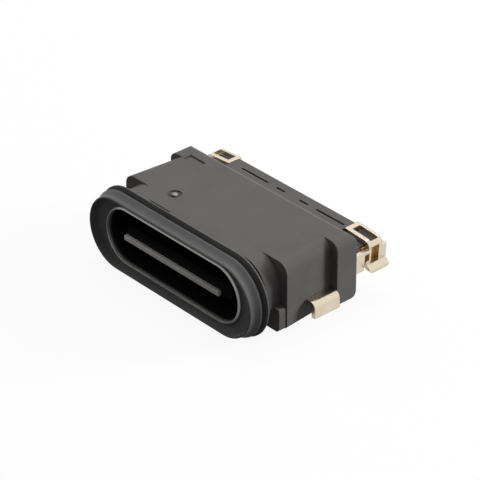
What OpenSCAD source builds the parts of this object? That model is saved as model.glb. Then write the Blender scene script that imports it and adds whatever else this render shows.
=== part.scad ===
// Sealed USB-C socket for a board cut-out.
// The mouth faces -Y, +Z is up, and the middle of the mouth is at x = 0.
// Distances called "from the lip" run along +Y from the front of the soft ring.

/* [Plug opening] */
// width of the plug opening
mouth_w = 8.34; // [8.30:0.01:8.40]
// height of the plug opening
mouth_h = 2.56; // [2.52:0.01:2.60]
// distance of the opening's hard rim from the lip
rim_y = 0.33; // [0.25:0.01:0.45]
// depth of the opening behind its rim
mouth_depth = 5.25; // [5.10:0.05:5.30]
// thickness of the plastic wall round the shell
neck_wall = 0.07; // [0.06:0.01:0.10]

/* [Soft ring] */
// radius of the ring's front lip
lip_r = 1.67; // [1.62:0.01:1.72]
// radius of the ring's taller ridge
ridge_r = 1.93; // [1.85:0.01:2.00]
// distance between the centres of the ring's round ends
ring_span = 6.88; // [6.80:0.01:6.96]
// length of the round front lip
lip_len = 0.14; // [0.12:0.01:0.16]
// front of the ridge, from the lip
ridge_y = 0.18; // [0.17:0.01:0.20]
// length of the ridge
ridge_len = 0.45; // [0.42:0.01:0.50]
// rounding of the ridge in front
ridge_round = 0.30; // [0.25:0.01:0.32]
// rounding of the ridge's back edge
ring_round = 0.08; // [0.05:0.01:0.09]

/* [Moulded body] */
// front face of the collar behind the ring, from the lip
body_y = 1.24; // [1.18:0.01:1.32]
// half of the body's height
body_hh = 1.54; // [1.54:0.01:1.60]
// half of the collar's width
collar_hw = 4.72; // [4.65:0.01:4.80]
// rounding of the collar's corners
collar_round = 1.20; // [1.00:0.01:1.30]
// front of the main body, from the lip
main_y = 2.06; // [2.00:0.01:2.09]
// half of the main body's width at its front
main_hw = 5.12; // [5.05:0.01:5.16]
// half of its width where the rear blocks begin
main_rear_hw = 4.90; // [4.85:0.01:4.98]
// rounding of the main body's upper edges
main_round = 0.52; // [0.40:0.01:0.60]
// half of the body's width across the rear blocks
block_hw = 5.28; // [5.20:0.01:5.35]
// front of the rear blocks, from the lip
block_y = 4.72; // [4.60:0.01:4.80]
// rear of the rear blocks, from the lip
block_end_y = 5.82; // [5.70:0.01:5.95]
// rounding of the rear blocks' long upper edges
block_round = 0.42; // [0.30:0.01:0.50]
// rounding of the rear blocks' upper back edges
block_crest = 0.28; // [0.15:0.01:0.30]
// rounding of the rear blocks' lower back edges
block_heel = 0.45; // [0.30:0.01:0.50]
// front of the side flanges, from the lip
flange_y = 1.66; // [1.60:0.01:1.75]
// top of the side flanges, above the middle of the mouth
flange_z = -0.45; // [-0.55:0.01:-0.35]
// rounding of the body's lower edges
low_round = 0.20; // [0.10:0.01:0.25]
// height of the rear shelf above the middle of the mouth
shelf_z = 0.83; // [0.80:0.01:0.86]
// half of the rear shelf's width
shelf_hw = 3.66; // [3.60:0.01:3.72]
// rear face of the shelf, from the lip
shelf_end_y = 7.28; // [7.20:0.01:7.40]

/* [Tongue] */
// width of the tongue
tongue_w = 6.69; // [6.60:0.01:6.72]
// thickness of the tongue
tongue_t = 0.70; // [0.68:0.01:0.72]
// tip of the tongue, from the lip
tongue_y = 0.34; // [0.30:0.01:0.60]
// bevel on the tongue's tip
tip_bevel = 0.36; // [0.20:0.01:0.40]

/* [Contacts] */
// number of contacts in each row
row_count = 12; // [12:1:12]
// distance between neighbouring contacts
pitch = 0.50; // [0.50:0.01:0.50]
// width of a contact
contact_w = 0.24; // [0.20:0.01:0.28]
// thickness of a contact
contact_t = 0.12; // [0.10:0.01:0.14]

/* [Metal] */
// wall of the drawn inner shell
shell_t = 0.10; // [0.08:0.01:0.12]
// thickness of the mounting metal
metal_t = 0.20; // [0.18:0.01:0.22]
// underside of the soldered feet and tails, from the middle of the mouth
board_z = -0.60; // [-0.64:0.01:-0.56]

/* [Hidden] */
$fn = 48;
mouth_r = mouth_h / 2;
mouth_span = mouth_w - mouth_h;
shell_r = mouth_r + shell_t;
neck_r = shell_r + neck_wall;
mouth_end_y = rim_y + mouth_depth;
overall_low = ridge_r;
tail_end_y = 8.30;
overall_d = tail_end_y;

flange_inset = 0.04;

// the drawn shell stops just behind the rim
shell_y = rim_y + 0.10;
shell_end_y = mouth_end_y;

// hollows in the front of the ring
valley_r = lip_r - 0.07;
crescent_r = 1.42;
crescent_depth = 0.34;
crescent_edge = 0.16;

// narrow openings in the rear shelf
slot_y = 6.76;
slot_w = 0.10;
slot_depth = 0.30;
slot_shift = 0.25;
shelf_low = board_z + 0.05;

// leg metal at the rear corners
strap_y = 6.66;
strap_end_y = 7.42;
strap_z = shelf_z + 0.02;
strap_window_x = 3.92;
strap_window_end_x = 5.02;
strap_front_bar = 0.20;
strap_rear_bar = 0.12;
leg_hw = 5.19;
leg_droop = 4;
leg_root_y = 5.40;
leg_slot_y = 6.44;
leg_end_y = 7.66;
leg_bend = 0.34;
leg_low = -0.42;
leg_slot_w = 0.26;
leg_slot_z = 0.34;
leg_window_y = 6.80;
leg_window_end_y = 7.24;
leg_window_z = 0.59;
leg_window_low = -0.18;
foot_y = 6.52;
foot_end_y = leg_end_y - 0.04;
foot_top = -0.30;
foot_flare = 0.20;
foot_round = 0.16;

// plastic under the straps
wing_hw = leg_hw - metal_t - 0.10;
wing_z = strap_z - metal_t - 0.02;
wing_low = -0.26;

// side tabs
tab_y = 3.22;
tab_end_y = 4.62;
tab_hw = 5.56;
tab_z = -0.58;
tab_low = -1.32;
tab_bend = 0.20;

// rear end of the insulators
root_y = 4.90;
root_hh = 0.55;
tongue_end_y = 6.55;
carrier_end_y = 7.00;
pocket_hh = 0.44;

// rows of contacts, and the plate between them
row_half = (row_count - 1) * pitch / 2;
contact_proud = 0.01;
contact_z = tongue_t / 2 - contact_t + contact_proud;
contact_y = tongue_y + 1.10;
tail_a_y = 7.68;
tail_b_y = 7.34;
tail_b_end_y = 7.60;
plate_t = 0.14;
plate_y = tongue_y + 0.55;
plate_end_y = tongue_end_y - 0.15;
plate_leg_w = contact_w;
plate_leg_gap = 0.11;
plate_leg_x = row_half + contact_w / 2 + plate_leg_gap + plate_leg_w / 2;
latch_y = 2.95;
latch_depth = 0.25;
latch_len = 0.90;
pocket_hw = plate_leg_x + plate_leg_w / 2 + 0.13;
ground_t = 0.10;
ground_hw = 3.00;

// marks on the top face
mark_x = -2.32;
mark_y = 2.42;
mark_r = 0.32;
mark_w = 0.15;
mark_depth = 0.06;
corner_mark_x = -4.40;
corner_mark_y = 5.12;
corner_mark_w = 0.16;
corner_mark_len = 0.45;
corner_mark_run = 1.00;
notch_x = -2.60;
notch_len = 1.30;
notch_w = 0.10;

body_col = "#5b5a5c";
ring_col = "#4c4b4e";
tongue_col = "#6a6a6c";
metal_col = "#e4dcc8";
steel_col = "#b9b7b2";
gold_col = "#d8b25a";
seal_col = "#2a2a2c";

// ---------- shared shapes ----------

// a bar along +Y with a drawn X-Z outline
module along_y(y0, y1) {
    translate([0, y1, 0])
        rotate([90, 0, 0])
            linear_extrude(y1 - y0)
                children();
}

// a bar across X with a drawn Y-Z outline
module along_x(x0, x1) {
    translate([x0, 0, 0])
        rotate([90, 0, 90])
            linear_extrude(x1 - x0)
                children();
}

module slot_2d(span, r) {
    square([span, 2 * r], center = true);
    for (s = [-1, 1])
        translate([s * span / 2, 0])
            circle(r);
}

module slot_bar(span, r, y0, y1) {
    along_y(y0, y1)
        slot_2d(span, r);
}

// a rectangle with one rounding for its upper corners and one for its lower corners
module topped_2d(hw, low, high, r, low_r) {
    translate([-hw, low + low_r])
        square([2 * hw, high - r - low - low_r]);
    translate([-hw + r, high - r])
        square([2 * (hw - r), r]);
    translate([-hw + low_r, low])
        square([2 * (hw - low_r), low_r]);
    for (s = [-1, 1]) {
        translate([s * (hw - r), high - r])
            circle(r);
        translate([s * (hw - low_r), low + low_r])
            circle(low_r);
    }
}

module mirrored(right) {
    if (right)
        children();
    else
        mirror([1, 0, 0])
            children();
}

// ---------- soft ring ----------

// one cut through the ring's wall: radius along x, distance from the lip along y
module ring_cut_2d() {
    inner = 0.6;
    lip_round = lip_len / 2;
    ridge_end_y = ridge_y + ridge_len;
    // front lip
    translate([inner, 0])
        square([lip_r - lip_round - inner, lip_len]);
    translate([lip_r - lip_round, lip_round])
        circle(lip_round);
    // floor of the valley behind the lip
    translate([inner, lip_round])
        square([valley_r - inner, ridge_y]);
    // ridge, which swells up behind the valley and ends in a sharper edge
    translate([inner, ridge_y])
        square([ridge_r - ridge_round - inner, ridge_len]);
    translate([inner, ridge_y + ridge_round])
        square([ridge_r - ring_round - inner, ridge_len - ridge_round]);
    translate([inner, ridge_y + ridge_round])
        square([ridge_r - inner, ridge_len - ridge_round - ring_round]);
    translate([ridge_r - ridge_round, ridge_y + ridge_round])
        circle(ridge_round);
    translate([ridge_r - ring_round, ridge_end_y - ring_round])
        circle(ring_round);
}

module ring_blank() {
    for (s = [-1, 1])
        translate([s * ring_span / 2, 0, 0])
            rotate([-90, 0, 0])
                rotate([0, 0, s > 0 ? -90 : 90])
                    rotate_extrude(angle = 180)
                        ring_cut_2d();
    for (s = [-1, 1])
        translate([-ring_span / 2, 0, 0])
            rotate([90, 0, 90])
                linear_extrude(ring_span)
                    rotate([0, 0, s > 0 ? 90 : -90])
                        mirror([0, s > 0 ? 1 : 0])
                            ring_cut_2d();
    slot_bar(ring_span, 0.7, 0, ridge_y + ridge_len);
}

module seal_ring() {
    color(ring_col)
    difference() {
        ring_blank();
        slot_bar(mouth_span, neck_r, -1, body_y);
        // crescent hollows at both ends of the opening
        for (s = [-1, 1])
            translate([s * (lip_r + ring_span / 2 - crescent_r - crescent_edge), 0, 0])
                rotate([90, 0, 0])
                    cylinder(r = crescent_r, h = 2 * crescent_depth, center = true);
    }
}

// ---------- moulded body ----------

// a rear block's outline seen from the side, with both of its back edges rounded
module heel_2d() {
    len = block_end_y - block_y;
    translate([block_y, -body_hh])
        square([len - block_heel, 2 * body_hh]);
    translate([block_y, -body_hh + block_heel])
        square([len, 2 * body_hh - block_heel - block_crest]);
    translate([block_y, body_hh - block_crest])
        square([len - block_crest, block_crest]);
    translate([block_end_y - block_heel, -body_hh + block_heel])
        circle(block_heel);
    translate([block_end_y - block_crest, body_hh - block_crest])
        circle(block_crest);
}

// the right half of the main body, whose side leans in towards the rear
module main_half() {
    len = block_y - main_y;
    lean = atan((main_hw - main_rear_hw) / len);
    intersection() {
        translate([-0.5, main_y, -body_hh])
            cube([main_hw + 1, len, 2 * body_hh]);
        translate([main_hw, main_y, 0])
            rotate([0, 0, lean])
                translate([-main_hw, 0, 0])
                    along_y(-1, len + 1)
                        topped_2d(main_hw, -body_hh, body_hh, main_round, low_round);
    }
}

module housing_body() {
    // neck, which carries the soft ring
    slot_bar(mouth_span, neck_r, rim_y, body_y + 0.2);
    // collar with round corners
    along_y(body_y, main_y)
        topped_2d(collar_hw, -body_hh, body_hh, collar_round, collar_round);
    // main body
    for (right = [false, true])
        mirrored(right)
            main_half();
    // side flanges reach forward under the collar
    along_y(flange_y, main_y)
        topped_2d(main_hw - flange_inset, -body_hh, flange_z, 0.10, low_round);
    // rear blocks
    intersection() {
        along_y(block_y, block_end_y)
            topped_2d(block_hw, -body_hh, body_hh, block_round, low_round);
        along_x(-block_hw, block_hw)
            heel_2d();
    }
    // rear shelf, and the wings that slope down with the straps over them
    root = 0.5;
    translate([-shelf_hw, block_end_y - root, shelf_low])
        cube([2 * shelf_hw, shelf_end_y - block_end_y + root, shelf_z - shelf_low]);
    for (right = [false, true])
        mirrored(right)
            drooped()
                translate([shelf_hw - root, block_end_y - root, wing_low])
                    cube([wing_hw - shelf_hw + root, shelf_end_y - block_end_y + root, wing_z - wing_low]);
}

module housing() {
    color(body_col)
    difference() {
        housing_body();
        slot_bar(mouth_span, mouth_r, -1, shell_y);
        slot_bar(mouth_span, shell_r, shell_y, shell_end_y);
        rear_pocket(shell_end_y, shelf_end_y + 1);
        legs_and_tabs();
        // narrow openings along the back of the shelf
        for (s = [-1, 1]) {
            shelf_slot(s, 0.45, 0.99);
            shelf_slot(s, 1.52, 3.22);
        }
        // pin marks and gate recess left by the mould
        translate([mark_x, mark_y, body_hh])
            difference() {
                cylinder(r = mark_r, h = 2 * mark_depth, center = true);
                cylinder(r = mark_r - mark_w, h = 3 * mark_depth, center = true);
            }
        translate([corner_mark_x, corner_mark_y - corner_mark_len, body_hh - mark_depth])
            cube([corner_mark_w, corner_mark_len, 1]);
        translate([corner_mark_x, corner_mark_y - corner_mark_w, body_hh - mark_depth])
            cube([corner_mark_run, corner_mark_w, 1]);
        translate([notch_x, body_y - 0.01, body_hh - mark_depth])
            cube([notch_len, notch_w + 0.01, 1]);
    }
}

module shelf_slot(side, x0, x1) {
    translate([slot_shift + (side > 0 ? x0 : -x1), slot_y, shelf_z - slot_depth])
        cube([x1 - x0, slot_w, 1]);
}

// ---------- shell and mounting metal ----------

module shell_outer() {
    slot_bar(mouth_span, shell_r, shell_y, shell_end_y);
}

module shell() {
    color(steel_col)
    difference() {
        shell_outer();
        slot_bar(mouth_span, mouth_r, shell_y - 1, shell_end_y + 1);
    }
}

// a flat strip that turns down through a quarter circle
module bent_2d(x0, x1, top, low, t, r) {
    translate([x0, top - t])
        square([x1 - r - x0, t]);
    translate([x1 - t, low])
        square([t, top - r - low]);
    translate([x1 - r, top - r])
        intersection() {
            difference() {
                circle(r);
                circle(r - t);
            }
            square(r + 1);
        }
}

module tab(right) {
    color(metal_col)
    mirrored(right)
        difference() {
            along_y(tab_y, tab_end_y)
                bent_2d(shell_r + mouth_span / 2 - 0.4, tab_hw, tab_z, tab_low, metal_t, tab_bend + metal_t / 2);
            shell_outer();
        }
}

// turns the strap's outer end slightly down about its inner end
module drooped() {
    translate([shelf_hw, 0, strap_z])
        rotate([0, leg_droop, 0])
            translate([-shelf_hw, 0, -strap_z])
                children();
}

module leg(right) {
    color(metal_col)
    mirrored(right) {
        drooped()
            difference() {
                union() {
                    // strap, which bends down into the upright plate
                    along_y(strap_y, strap_end_y)
                        bent_2d(shelf_hw + 0.02, leg_hw, strap_z, foot_top, metal_t, leg_bend);
                    along_x(leg_hw - metal_t, leg_hw)
                        polygon([[leg_root_y, leg_low], [leg_root_y, strap_z - leg_bend],
                                 [leg_end_y, strap_z - leg_bend], [leg_end_y, foot_top],
                                 [foot_y, foot_top], [foot_y, 0], [leg_slot_y, 0], [leg_slot_y, leg_low]]);
                }
                // window in the strap
                translate([strap_window_x, strap_y + strap_front_bar, strap_z - metal_t - 0.01])
                    cube([strap_window_end_x - strap_window_x,
                          strap_end_y - strap_y - strap_front_bar - strap_rear_bar, 1]);
                // opening at the top of the slot between the arm and the foot
                translate([leg_hw - metal_t - 0.05, leg_slot_y, -0.02])
                    cube([1, leg_slot_w, leg_slot_z + 0.02]);
                // window in the upright plate, which runs up into the bend
                translate([leg_hw - metal_t - 0.05, leg_window_y, leg_window_low])
                    cube([1, leg_window_end_y - leg_window_y, leg_window_z - leg_window_low]);
            }
        foot();
    }
}

// foot, which flares out to its solder pad and has round lower corners
module foot() {
    tip = leg_hw + foot_flare;
    intersection() {
        along_y(foot_y, foot_end_y)
            polygon([[leg_hw - metal_t - 0.04, foot_top], [leg_hw - 0.04, foot_top + 0.02],
                     [tip, board_z + 0.14], [tip, board_z], [tip - metal_t, board_z]]);
        along_x(0, tip + 1)
            translate([(foot_y + foot_end_y) / 2, 0])
                topped_2d((foot_end_y - foot_y) / 2, board_z, 1, 0.1, foot_round);
    }
}

module legs_and_tabs() {
    for (s = [false, true]) {
        leg(s);
        tab(s);
    }
}

// ---------- tongue, carrier and seal ----------

module rear_pocket(y0, y1) {
    translate([-pocket_hw, y0, -pocket_hh])
        cube([2 * pocket_hw, y1 - y0, 2 * pocket_hh]);
}

module tongue() {
    color(tongue_col)
    difference() {
        union() {
            linear_extrude(tongue_t, center = true)
                polygon([[-tongue_w / 2 + tip_bevel, tongue_y], [tongue_w / 2 - tip_bevel, tongue_y],
                         [tongue_w / 2, tongue_y + tip_bevel], [tongue_w / 2, root_y],
                         [-tongue_w / 2, root_y], [-tongue_w / 2, tongue_y + tip_bevel]]);
            translate([-tongue_w / 2, root_y, -root_hh])
                cube([tongue_w, shell_end_y - root_y, 2 * root_hh]);
            rear_pocket(shell_end_y, tongue_end_y);
        }
        // sloping faces at the tip
        for (s = [-1, 1])
            scale([1, 1, s])
                along_x(-5, 5)
                    polygon([[tongue_y - 0.1, tongue_t / 2 + 0.1], [tongue_y - 0.1, 0.20],
                             [tongue_y, 0.20], [tongue_y + 0.30, tongue_t / 2], [tongue_y + 0.30, 1]]);
        metal_in_tongue();
    }
}

module metal_in_tongue() {
    mid_plate_solid();
    for (i = [1 : row_count]) {
        contact_a_solid(i);
        contact_b_solid(i);
    }
}

module mid_plate_solid() {
    linear_extrude(plate_t, center = true)
        difference() {
            translate([-tongue_w / 2, plate_y])
                square([tongue_w, plate_end_y - plate_y]);
            // latch notches in both long edges
            for (s = [-1, 1])
                translate([s * tongue_w / 2, latch_y])
                    square([2 * latch_depth, latch_len], center = true);
        }
    for (s = [-1, 1])
        translate([s * plate_leg_x, 0, 0])
            along_x(-plate_leg_w / 2, plate_leg_w / 2)
                polygon([[plate_end_y - 0.15, -plate_t / 2], [plate_end_y - 0.15, plate_t / 2],
                         [tail_b_y + plate_t, plate_t / 2], [tail_b_y + plate_t, board_z + plate_t],
                         [tail_b_end_y, board_z + plate_t], [tail_b_end_y, board_z],
                         [tail_b_y, board_z], [tail_b_y, -plate_t / 2]]);
}

module mid_plate() {
    color(steel_col)
        mid_plate_solid();
}

module ground_plate(up) {
    color(steel_col)
    difference() {
        translate([-ground_hw, root_y + 0.10, up ? root_hh : -root_hh - ground_t])
            cube([2 * ground_hw, shell_end_y - root_y - 0.10, ground_t]);
        for (s = [-1, 1])
            translate([s * 1.5, root_y + 0.6, 0])
                cube([1.6, 0.3, 3], center = true);
    }
}

module contact_carrier() {
    color(tongue_col)
    difference() {
        rear_pocket(tongue_end_y, carrier_end_y);
        metal_in_tongue();
    }
}

module rear_seal() {
    color(seal_col)
    difference() {
        rear_pocket(carrier_end_y, shelf_end_y);
        metal_in_tongue();
    }
}

// ---------- contacts ----------

function contact_x(i) = (i - 1) * pitch - row_half;

module contact_a_solid(i) {
    z = contact_z;
    t = contact_t;
    translate([contact_x(i), 0, 0])
        along_x(-contact_w / 2, contact_w / 2)
            polygon([[contact_y, z], [contact_y, z + t],
                     [tail_a_y + t - 0.08, z + t], [tail_a_y + t, z + t - 0.08],
                     [tail_a_y + t, board_z + t], [tail_end_y, board_z + t], [tail_end_y, board_z],
                     [tail_a_y + 0.05, board_z], [tail_a_y, board_z + 0.05], [tail_a_y, z]]);
}

module contact_b_solid(i) {
    z = -contact_z - contact_t;
    t = contact_t;
    translate([contact_x(i), 0, 0])
        along_x(-contact_w / 2, contact_w / 2)
            polygon([[contact_y, z], [contact_y, z + t], [tail_b_y, z + t],
                     [tail_b_y + 0.12, board_z + t], [tail_b_end_y, board_z + t],
                     [tail_b_end_y, board_z], [tail_b_y + 0.08, board_z], [tail_b_y - 0.04, z]]);
}

module contact(i, upper) {
    color(gold_col)
    if (upper)
        contact_a_solid(i);
    else
        contact_b_solid(i);
}

// ---------- placing ----------

module place() {
    translate([0, -overall_d / 2, overall_low])
        children();
}

module pick(name) {
    place()
            children();
}

pick("housing") housing();
pick("seal_ring") seal_ring();
pick("shell") shell();
pick("leg_left") leg(false);
pick("leg_right") leg(true);
pick("tab_left") tab(false);
pick("tab_right") tab(true);
pick("tongue") tongue();
pick("mid_plate") mid_plate();
pick("ground_plate_top") ground_plate(true);
pick("ground_plate_bottom") ground_plate(false);
pick("contact_carrier") contact_carrier();
pick("rear_seal") rear_seal();
for (i = [1 : row_count]) {
    pick(str("contact_a", i)) contact(i, true);
    pick(str("contact_b", i)) contact(i, false);
}
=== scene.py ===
import math

import bmesh
import bpy
from mathutils import Matrix, Vector


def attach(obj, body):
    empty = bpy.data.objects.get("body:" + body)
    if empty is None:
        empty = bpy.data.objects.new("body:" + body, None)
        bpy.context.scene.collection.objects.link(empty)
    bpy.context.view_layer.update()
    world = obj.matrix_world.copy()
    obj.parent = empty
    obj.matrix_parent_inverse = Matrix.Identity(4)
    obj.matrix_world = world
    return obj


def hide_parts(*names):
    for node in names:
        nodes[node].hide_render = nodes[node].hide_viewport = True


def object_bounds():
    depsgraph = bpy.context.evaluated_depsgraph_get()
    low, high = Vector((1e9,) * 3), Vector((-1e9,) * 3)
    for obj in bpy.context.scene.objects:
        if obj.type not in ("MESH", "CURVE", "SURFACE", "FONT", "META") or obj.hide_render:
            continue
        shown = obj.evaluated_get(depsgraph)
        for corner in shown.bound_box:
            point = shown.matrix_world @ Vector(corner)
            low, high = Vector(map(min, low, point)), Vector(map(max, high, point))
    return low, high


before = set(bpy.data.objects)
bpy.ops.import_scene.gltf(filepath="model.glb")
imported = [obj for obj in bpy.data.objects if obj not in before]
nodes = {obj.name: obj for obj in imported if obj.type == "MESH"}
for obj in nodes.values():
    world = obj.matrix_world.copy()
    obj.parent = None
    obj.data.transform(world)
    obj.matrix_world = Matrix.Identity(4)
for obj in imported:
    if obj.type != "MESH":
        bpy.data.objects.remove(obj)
cad_low, cad_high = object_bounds()
scene = bpy.context.scene


# ---- Camera -------------------------------------------------------------
# A long lens looks down at the socket's mouth and its right side, as for a
# catalogue picture. Angles are from the mouth's side and from the table.
MM = 0.001
AIM = Vector((0.849, -0.850, 2.267)) * MM
AZIMUTH = math.radians(48.528)
ELEVATION = math.radians(31.438)
ROLL = math.radians(-0.339)
DISTANCE = 0.11010
LENS_MM = 197.0
SENSOR_MM = 36.0

camera_data = bpy.data.cameras.new("camera")
camera_data.lens = LENS_MM
camera_data.sensor_width = SENSOR_MM
camera_data.clip_start = 0.002
camera_data.clip_end = 2.0
camera = bpy.data.objects.new("camera", camera_data)
scene.collection.objects.link(camera)
away = Vector((math.sin(AZIMUTH) * math.cos(ELEVATION),
               -math.cos(AZIMUTH) * math.cos(ELEVATION),
               math.sin(ELEVATION)))
camera.matrix_world = (Matrix.Translation(AIM + away * DISTANCE)
                       @ away.to_track_quat("Z", "Y").to_matrix().to_4x4()
                       @ Matrix.Rotation(ROLL, 4, "Z"))
scene.camera = camera


# ---- Moulded body -------------------------------------------------------
# The body is glass-filled high-temperature nylon, injection moulded over the
# drawn shell. The glass leaves a satin, slightly clouded skin with a faint
# grain, drawn coarser than the real one, and the mould's edges are soft.
def linear(hex_colour):
    """Turns an sRGB hex colour into the linear colour that a node takes."""
    channels = []
    for k in (1, 3, 5):
        c = int(hex_colour[k:k + 2], 16) / 255
        channels.append(c / 12.92 if c <= 0.04045 else ((c + 0.055) / 1.055) ** 2.4)
    return (*channels, 1.0)


def add(tree, kind, links=(), **settings):
    """Adds a node, sets its properties or sockets, and links its inputs."""
    node = tree.nodes.new(kind)
    for key, value in settings.items():
        if hasattr(node, key):
            setattr(node, key, value)
        else:
            node.inputs[key.replace("_", " ")].default_value = value
    for socket, source in links:
        tree.links.new(source, node.inputs[socket])
    return node


def new_material(name):
    material = bpy.data.materials.new(name)
    material.use_nodes = True
    tree = material.node_tree
    tree.nodes.clear()
    return material, tree


def dress(material, names):
    """Gives each named CAD node one material."""
    for name in names:
        mesh = nodes[name].data
        mesh.materials.clear()
        mesh.materials.append(material)


CLOUD_MM = 1.6
GRAIN_DEPTH_MM = 0.01
PLASTIC_IOR = 1.5


def moulded_plastic(name, light, dark, roughness, grain_mm, edge_mm, bump, specular=0.5):
    material, tree = new_material(name)
    place = add(tree, "ShaderNodeTexCoord")
    cloud = add(tree, "ShaderNodeTexNoise", [("Vector", place.outputs["Object"])],
                Scale=1000 / CLOUD_MM, Detail=3.0, Roughness=0.55)
    grain = add(tree, "ShaderNodeTexNoise", [("Vector", place.outputs["Object"])],
                Scale=1000 / grain_mm, Detail=2.0, Roughness=0.6)
    blend = add(tree, "ShaderNodeMix", [("Factor", cloud.outputs["Fac"])], data_type="RGBA")
    blend.inputs[6].default_value = linear(dark)
    blend.inputs[7].default_value = linear(light)
    soft = add(tree, "ShaderNodeBevel", samples=6)
    soft.inputs["Radius"].default_value = edge_mm * MM
    relief = add(tree, "ShaderNodeBump",
                 [("Height", grain.outputs["Fac"]), ("Normal", soft.outputs["Normal"])])
    relief.inputs["Strength"].default_value = bump
    relief.inputs["Distance"].default_value = GRAIN_DEPTH_MM * MM
    sheen = add(tree, "ShaderNodeMapRange", [("Value", cloud.outputs["Fac"])])
    sheen.inputs["To Min"].default_value = roughness - 0.05
    sheen.inputs["To Max"].default_value = roughness + 0.06
    skin = add(tree, "ShaderNodeBsdfPrincipled",
               [("Base Color", blend.outputs[2]), ("Roughness", sheen.outputs["Result"]),
                ("Normal", relief.outputs["Normal"])])
    skin.inputs["IOR"].default_value = PLASTIC_IOR
    skin.inputs["Specular IOR Level"].default_value = specular
    add(tree, "ShaderNodeOutputMaterial", [("Surface", skin.outputs["BSDF"])])
    return material


body_nylon = moulded_plastic("body_nylon", "#666463", "#52504f", roughness=0.50,
                             grain_mm=0.11, edge_mm=0.05, bump=0.50, specular=0.2)
dress(body_nylon, ["housing"])


# ---- Soft ring ----------------------------------------------------------
# The ring is liquid silicone moulded round the neck of the body. It is as grey
# as the body but duller. Its section goes, from the mouth outwards: a seat by
# the rim, a funnel, a round lip, a sloping ridge, a deep groove and a fin.
LIP_Y = cad_low[1]
MOUTH_Z = (cad_low[2] + cad_high[2]) / 2
RING_HALF_SPAN = 3.44 * MM
MOUTH_HALF_SPAN = 2.89 * MM
SEAT_REACH = 1.50 * MM
SAME_PLACE = 1e-7

# each point: distance from the slot's middle line, then from the lip, in mm
RING_SEAT = [(1.405, 0.330), (1.405, 0.250), (1.470, 0.335)]
RING_FUNNEL = [(1.550, 0.300), (1.612, 0.026)]
RING_LIP = [(1.642, 0.000), (1.676, 0.006), (1.700, 0.030), (1.712, 0.070), (1.708, 0.120)]
RING_RIDGE = [(1.710, 0.190), (1.730, 0.270), (1.768, 0.350), (1.813, 0.435),
              (1.855, 0.512), (1.858, 0.535), (1.800, 0.560)]
RING_GROOVE = [(1.590, 0.600), (1.590, 0.775)]
RING_FIN = [(1.890, 0.795), (1.920, 0.805), (1.930, 0.825), (1.930, 0.850),
            (1.910, 0.880), (1.870, 0.890)]
RING_BORE = [(1.455, 0.890), (1.455, 0.340)]
RING_PROFILE = (RING_SEAT + RING_FUNNEL + RING_LIP + RING_RIDGE + RING_GROOVE
                + RING_FIN + RING_BORE)


def slot_sweep(profile, half_span, steps=40):
    """Carries a closed profile round a long slot: a half turn and a straight, twice."""
    mesh = bmesh.new()
    loop = [mesh.verts.new((half_span, LIP_Y + y * MM, MOUTH_Z + r * MM)) for r, y in profile]
    edges = [mesh.edges.new((loop[k], loop[(k + 1) % len(loop)])) for k in range(len(loop))]
    for side in (1, -1):
        turned = bmesh.ops.spin(mesh, geom=edges, cent=(side * half_span, 0, MOUTH_Z),
                                axis=(0, 1, 0), angle=math.pi, steps=steps,
                                use_duplicate=False)["geom_last"]
        edges = [part for part in turned if isinstance(part, bmesh.types.BMEdge)]
        moved = bmesh.ops.extrude_edge_only(mesh, edges=edges)["geom"]
        bmesh.ops.translate(mesh, vec=(-side * 2 * half_span, 0, 0),
                            verts=[part for part in moved if isinstance(part, bmesh.types.BMVert)])
        edges = [part for part in moved
                 if isinstance(part, bmesh.types.BMEdge) and not part.is_manifold
                 and abs(part.verts[0].co.x + side * half_span) < SAME_PLACE
                 and abs(part.verts[1].co.x + side * half_span) < SAME_PLACE]
    bmesh.ops.remove_doubles(mesh, verts=mesh.verts, dist=SAME_PLACE)
    bmesh.ops.recalc_face_normals(mesh, faces=mesh.faces)
    return mesh


def finish_piece(name, mesh, material, smooth_angle=35):
    """Smooths all but the sharp edges, and rides the piece on the part's one body."""
    for face in mesh.faces:
        face.smooth = True
    for edge in mesh.edges:
        if len(edge.link_faces) == 2 and edge.calc_face_angle() > math.radians(smooth_angle):
            edge.smooth = False
    data = bpy.data.meshes.new(name)
    mesh.to_mesh(data)
    mesh.free()
    data.materials.append(material)
    piece = bpy.data.objects.new(name, data)
    scene.collection.objects.link(piece)
    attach(piece, "root")
    return piece


ring_silicone = moulded_plastic("ring_silicone", "#6b6a69", "#5b5a5a", roughness=0.50,
                                grain_mm=0.09, edge_mm=0.02, bump=0.25, specular=0.22)
ring_mesh = slot_sweep(RING_PROFILE, RING_HALF_SPAN)
# the seat follows the mouth, whose round ends lie closer together
for vert in ring_mesh.verts:
    reach = math.hypot(max(abs(vert.co.x) - RING_HALF_SPAN, 0), vert.co.z - MOUTH_Z)
    if reach < SEAT_REACH:
        inward = min(RING_HALF_SPAN - MOUTH_HALF_SPAN, abs(vert.co.x))
        vert.co.x -= math.copysign(inward, vert.co.x)
soft_ring = finish_piece("soft_ring", ring_mesh, ring_silicone)
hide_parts("seal_ring")


# ---- Mouth rim ------------------------------------------------------------
# The drawn shell ends in a turned edge, a thin line of steel round the mouth. It is
# steel, and its near-white colour adds a painted highlight, bright though the lip
# shades it. Its outer corner is rolled off, and it is swept round the mouth's slot
# as the ring is.
rim_painted_highlight, tree = new_material("rim_painted_highlight")
skin = add(tree, "ShaderNodeBsdfPrincipled", Roughness=0.34, Metallic=0.7)
skin.inputs["Base Color"].default_value = linear("#f2f0ed")
add(tree, "ShaderNodeOutputMaterial", [("Surface", skin.outputs["BSDF"])])
RIM_PROFILE = [(1.303, 0.345), (1.303, 0.212), (1.308, 0.200), (1.320, 0.198),
               (1.392, 0.262), (1.403, 0.282), (1.403, 0.345)]
mouth_rim = finish_piece("mouth_rim", slot_sweep(RIM_PROFILE, MOUTH_HALF_SPAN), rim_painted_highlight)
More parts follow.
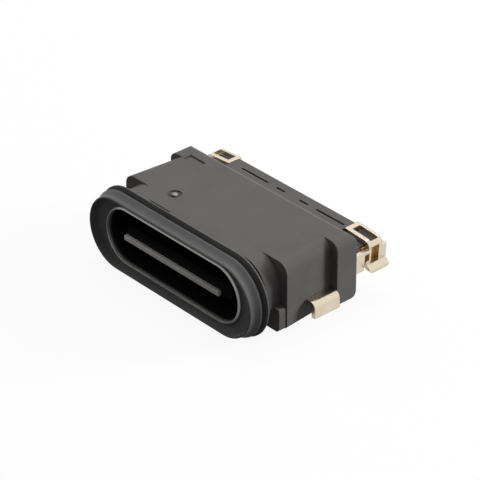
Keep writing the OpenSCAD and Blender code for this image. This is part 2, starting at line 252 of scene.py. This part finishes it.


# ---- Tongue and rear insulators ------------------------------------------
# The tongue is black liquid-crystal polymer moulded round the contacts; its near-
# black colour also paints the shade of the lip over it. A pale strip over its tip
# is painted light for the lit front face of the tip.
polymer_painted_shade = moulded_plastic("polymer_painted_shade", "#0d0d0e", "#09090a", roughness=0.50,
                                 grain_mm=0.08, edge_mm=0.03, bump=0.10, specular=0.1)
dress(polymer_painted_shade, ["tongue", "contact_carrier"])


def block(low, high, edge=0.0):
    """A box between two corners in mm: across, from the lip, above the mouth's middle."""
    mesh = bmesh.new()
    bmesh.ops.create_cube(mesh, size=1.0)
    size = [(b - a) * MM for a, b in zip(low, high)]
    middle = [(a + b) / 2 * MM for a, b in zip(low, high)]
    bmesh.ops.scale(mesh, vec=size, verts=mesh.verts)
    bmesh.ops.translate(mesh, vec=(middle[0], LIP_Y + middle[1], MOUTH_Z + middle[2]),
                        verts=mesh.verts)
    if edge:
        bmesh.ops.bevel(mesh, geom=mesh.edges[:], offset=edge * MM, offset_type="OFFSET",
                        affect="EDGES", segments=3, profile=0.5, material=-1)
    return mesh


STRIP_LOW = (-3.02, 0.17, -0.122)
STRIP_HIGH = (3.02, 0.36, 0.122)
STRIP_EDGE = 0.04
# the strip's pale tone is painted light for the lit tip face; it is matt, so it mirrors little
tip_painted_light = moulded_plastic("tip_painted_light", "#d0cecb", "#bcbab7", roughness=0.34,
                            grain_mm=0.05, edge_mm=0.02, bump=0.08)
tip_strip = finish_piece("tip_strip", block(STRIP_LOW, STRIP_HIGH, STRIP_EDGE), tip_painted_light)


# ---- Rear seal ------------------------------------------------------------
# Black epoxy is poured round the tails behind the body, and sets glossy.
poured_epoxy = moulded_plastic("poured_epoxy", "#222124", "#1b1b1d", roughness=0.22,
                               grain_mm=0.30, edge_mm=0.03, bump=0.15)
dress(poured_epoxy, ["rear_seal"])


# ---- Shell, plates and mounting metal ---------------------------------------
# The shell is drawn steel, coloured dull near-black as painted shade for the dark
# inside of the mouth, and the plates are bare stamped steel. The legs and side tabs
# are plated for soldering, which gives them a bright, warm, slightly hazy face with
# fine rolling streaks along y.
HAZE_MM = 0.9
STREAK_LENGTH_IN_WIDTHS = 25 / 3
STREAK_BUMP = 0.12
STREAK_DEPTH_MM = 0.004


def rolled_metal(name, colour, shade, roughness, streak_mm, edge_mm):
    material, tree = new_material(name)
    place = add(tree, "ShaderNodeTexCoord")
    along = add(tree, "ShaderNodeMapping", [("Vector", place.outputs["Object"])])
    across = 1000 / streak_mm
    along.inputs["Scale"].default_value = (across, across / STREAK_LENGTH_IN_WIDTHS, across)
    streak = add(tree, "ShaderNodeTexNoise", [("Vector", along.outputs["Vector"])],
                 Scale=1.0, Detail=3.0)
    haze = add(tree, "ShaderNodeTexNoise", [("Vector", place.outputs["Object"])],
               Scale=1000 / HAZE_MM, Detail=2.0)
    blend = add(tree, "ShaderNodeMix", [("Factor", haze.outputs["Fac"])], data_type="RGBA")
    blend.inputs[6].default_value = linear(shade)
    blend.inputs[7].default_value = linear(colour)
    rough = add(tree, "ShaderNodeMapRange", [("Value", streak.outputs["Fac"])])
    rough.inputs["To Min"].default_value = roughness - 0.05
    rough.inputs["To Max"].default_value = roughness + 0.08
    soft = add(tree, "ShaderNodeBevel", samples=6)
    soft.inputs["Radius"].default_value = edge_mm * MM
    relief = add(tree, "ShaderNodeBump",
                 [("Height", streak.outputs["Fac"]), ("Normal", soft.outputs["Normal"])])
    relief.inputs["Strength"].default_value = STREAK_BUMP
    relief.inputs["Distance"].default_value = STREAK_DEPTH_MM * MM
    skin = add(tree, "ShaderNodeBsdfPrincipled",
               [("Base Color", blend.outputs[2]), ("Roughness", rough.outputs["Result"]),
                ("Normal", relief.outputs["Normal"])])
    skin.inputs["Metallic"].default_value = 1.0
    add(tree, "ShaderNodeOutputMaterial", [("Surface", skin.outputs["BSDF"])])
    return material


# the shell's near-black is painted shade for the inside of the mouth
shell_painted_shade = moulded_plastic("shell_painted_shade", "#161617", "#0f0f10", roughness=0.55,
                             grain_mm=0.05, edge_mm=0.02, bump=0.10, specular=0.25)
dress(shell_painted_shade, ["shell"])
drawn_steel = rolled_metal("drawn_steel", "#c2c0bb", "#b3b1ac", roughness=0.28,
                           streak_mm=0.06, edge_mm=0.03)
dress(drawn_steel, ["mid_plate", "ground_plate_top", "ground_plate_bottom"])
solder_plating = rolled_metal("solder_plating", "#ebe1cd", "#dccfb4", roughness=0.24,
                              streak_mm=0.08, edge_mm=0.05)
dress(solder_plating, ["leg_left", "leg_right", "tab_left", "tab_right"])


# ---- Fill under the straps ------------------------------------------------------
# Each strap lies on a wing of the moulded body that fills the corner of the
# leg, and the bare copper alloy inside the leg shows in the plate's openings.
# Both are blocks that droop with the strap, and the left one is a mirror image.
STRAP_DROOP = math.radians(4)
STRAP_ROOT = Vector((3.66, 0, 0.85)) * MM + Vector((0, 0, MOUTH_Z))
WING_LOW, WING_HIGH, WING_EDGE = (3.50, 5.70, -0.30), (4.965, 7.45, 0.56), 0.04
LINING_LOW, LINING_HIGH = (4.93, 6.40, -0.24), (4.985, 7.32, 0.60)
bare_alloy = rolled_metal("bare_alloy", "#cc9868", "#a87850", roughness=0.42,
                          streak_mm=0.08, edge_mm=0.02)


def under_strap(name, mesh, side, material):
    bmesh.ops.rotate(mesh, cent=STRAP_ROOT, matrix=Matrix.Rotation(STRAP_DROOP, 3, "Y"),
                     verts=mesh.verts)
    if side < 0:
        bmesh.ops.scale(mesh, vec=(-1, 1, 1), verts=mesh.verts)
        bmesh.ops.reverse_faces(mesh, faces=mesh.faces)
    return finish_piece(name, mesh, material)


for hand, side in (("left", -1), ("right", 1)):
    wing = under_strap("wing_" + hand, block(WING_LOW, WING_HIGH, WING_EDGE), side, body_nylon)
    lining = under_strap("leg_lining_" + hand, block(LINING_LOW, LINING_HIGH), side, bare_alloy)


# ---- Contacts ---------------------------------------------------------------
# The contacts are copper alloy, stamped in one strip and plated with gold,
# which stays smooth and bright. They are dressed as the CAD has them.
contact_plating = rolled_metal("contact_plating", "#e8c070", "#dcb060", roughness=0.22,
                               streak_mm=0.05, edge_mm=0.02)
dress(contact_plating, [n for n in nodes if n.startswith("contact_") and n != "contact_carrier"])


# ---- Pin mark -----------------------------------------------------------------
# A small round nub of the body's own plastic stands in the pin mark on the
# top, left where the mould was filled. Its paler colour is a painted highlight.
NUB_PLACE = Vector((-2.28, 2.40, 1.535)) * MM + Vector((0, LIP_Y, MOUTH_Z))
NUB_RADIUS = 0.13 * MM
NUB_FLATTENING = 0.5
nub_painted_highlight = moulded_plastic("nub_painted_highlight", "#a5a4a2", "#8f8e8c", roughness=0.22,
                            grain_mm=0.05, edge_mm=0.01, bump=0.05)
nub_mesh = bmesh.new()
bmesh.ops.create_uvsphere(nub_mesh, u_segments=24, v_segments=12, radius=NUB_RADIUS)
bmesh.ops.scale(nub_mesh, vec=(1, 1, NUB_FLATTENING), verts=nub_mesh.verts)
bmesh.ops.translate(nub_mesh, vec=NUB_PLACE, verts=nub_mesh.verts)
pin_nub = finish_piece("pin_nub", nub_mesh, nub_painted_highlight, smooth_angle=80)


# ---- Floor and light ----------------------------------------------------------
# The socket lies on a plain white table. Seen in a gloss, the table is bright
# behind the mouth and dark in front of it, where the room is dark, and the
# light that it throws back up is dimmed.
FLOOR_REACH = 0.6
DARK_FROM_Y, BRIGHT_FROM_Y = -0.004, 0.0
DARK_GLOSS, BRIGHT_GLOSS = 0.12, 0.85
FLOOR_WHITE = 0.92
floor_mesh = bmesh.new()
bmesh.ops.create_grid(floor_mesh, x_segments=1, y_segments=1, size=FLOOR_REACH)
floor_data = bpy.data.meshes.new("floor")
floor_mesh.to_mesh(floor_data)
floor_mesh.free()
floor = bpy.data.objects.new("floor", floor_data)
scene.collection.objects.link(floor)
table_white, tree = new_material("table_white")
rays = add(tree, "ShaderNodeLightPath")
pale = add(tree, "ShaderNodeBsdfDiffuse", Color=linear("#ffffff"))
dim = add(tree, "ShaderNodeBsdfDiffuse", Color=linear("#606061"))
glow = add(tree, "ShaderNodeEmission", Color=(1, 1, 1, 1), Strength=1.0)
place = add(tree, "ShaderNodeTexCoord")
apart = add(tree, "ShaderNodeSeparateXYZ", [("Vector", place.outputs["Object"])])
back = add(tree, "ShaderNodeMapRange", [("Value", apart.outputs["Y"])])
back.inputs["From Min"].default_value = DARK_FROM_Y
back.inputs["From Max"].default_value = BRIGHT_FROM_Y
back.inputs["To Min"].default_value = DARK_GLOSS
back.inputs["To Max"].default_value = BRIGHT_GLOSS
seen = add(tree, "ShaderNodeMixShader",
           [(0, rays.outputs["Is Camera Ray"]), (1, dim.outputs[0]), (2, pale.outputs[0])])
mirrored = add(tree, "ShaderNodeMath",
               [(0, rays.outputs["Is Glossy Ray"]), (1, back.outputs["Result"])],
               operation="MULTIPLY")
white = add(tree, "ShaderNodeMath",
            [(0, rays.outputs["Is Camera Ray"]), (2, mirrored.outputs[0])],
            operation="MULTIPLY_ADD")
white.inputs[1].default_value = FLOOR_WHITE
mixed = add(tree, "ShaderNodeMixShader",
            [(0, white.outputs[0]), (1, seen.outputs[0]), (2, glow.outputs[0])])
add(tree, "ShaderNodeOutputMaterial", [("Surface", mixed.outputs[0])])
floor_data.materials.append(table_white)

# the room is white to the eye, darker in front in a gloss, and lights weakly
ROOM_LIGHT = 0.20
ROOM_FRONT_Y, ROOM_BACK_Y = -0.7, 0.2
ROOM_FRONT_GLOSS, ROOM_BACK_GLOSS = 0.30, 1.0
world = bpy.data.worlds.new("studio")
scene.world = world
world.use_nodes = True
tree = world.node_tree
tree.nodes.clear()
rays = add(tree, "ShaderNodeLightPath")
place = add(tree, "ShaderNodeTexCoord")
apart = add(tree, "ShaderNodeSeparateXYZ", [("Vector", place.outputs["Generated"])])
back = add(tree, "ShaderNodeMapRange", [("Value", apart.outputs["Y"])])
back.inputs["From Min"].default_value = ROOM_FRONT_Y
back.inputs["From Max"].default_value = ROOM_BACK_Y
back.inputs["To Min"].default_value = ROOM_FRONT_GLOSS
back.inputs["To Max"].default_value = ROOM_BACK_GLOSS
plain = add(tree, "ShaderNodeBackground", Color=(1, 1, 1, 1), Strength=ROOM_LIGHT)
mirrored = add(tree, "ShaderNodeBackground", [("Strength", back.outputs["Result"])],
               Color=(1, 1, 1, 1))
white = add(tree, "ShaderNodeBackground", Color=(1, 1, 1, 1), Strength=1.0)
mixed = add(tree, "ShaderNodeMixShader",
            [(0, rays.outputs["Is Glossy Ray"]), (1, plain.outputs[0]), (2, mirrored.outputs[0])])
seen = add(tree, "ShaderNodeMixShader",
           [(0, rays.outputs["Is Camera Ray"]), (1, mixed.outputs[0]), (2, white.outputs[0])])
add(tree, "ShaderNodeOutputWorld", [("Surface", seen.outputs[0])])


def lamp(name, place, size, power, mirrored=True):
    """A flat lamp that faces the socket; places and sizes in metres, power in watts."""
    data = bpy.data.lights.new(name, "AREA")
    data.shape = "RECTANGLE"
    data.size, data.size_y = size
    data.energy = power
    light = bpy.data.objects.new(name, data)
    scene.collection.objects.link(light)
    light.location = place
    light.visible_glossy = mirrored
    light.rotation_euler = (-Vector(place)).to_track_quat("-Z", "Y").to_euler()


# one broad lamp above and behind, and two low ones that no gloss shows
lamp("overhead", (-0.03, 0.03, 0.14), (0.10, 0.08), 0.089)
lamp("left", (-0.12, -0.05, 0.05), (0.05, 0.05), 0.030, mirrored=False)
lamp("right", (0.09, 0.12, 0.05), (0.05, 0.06), 0.275, mirrored=False)

scene.view_settings.view_transform = "Standard"
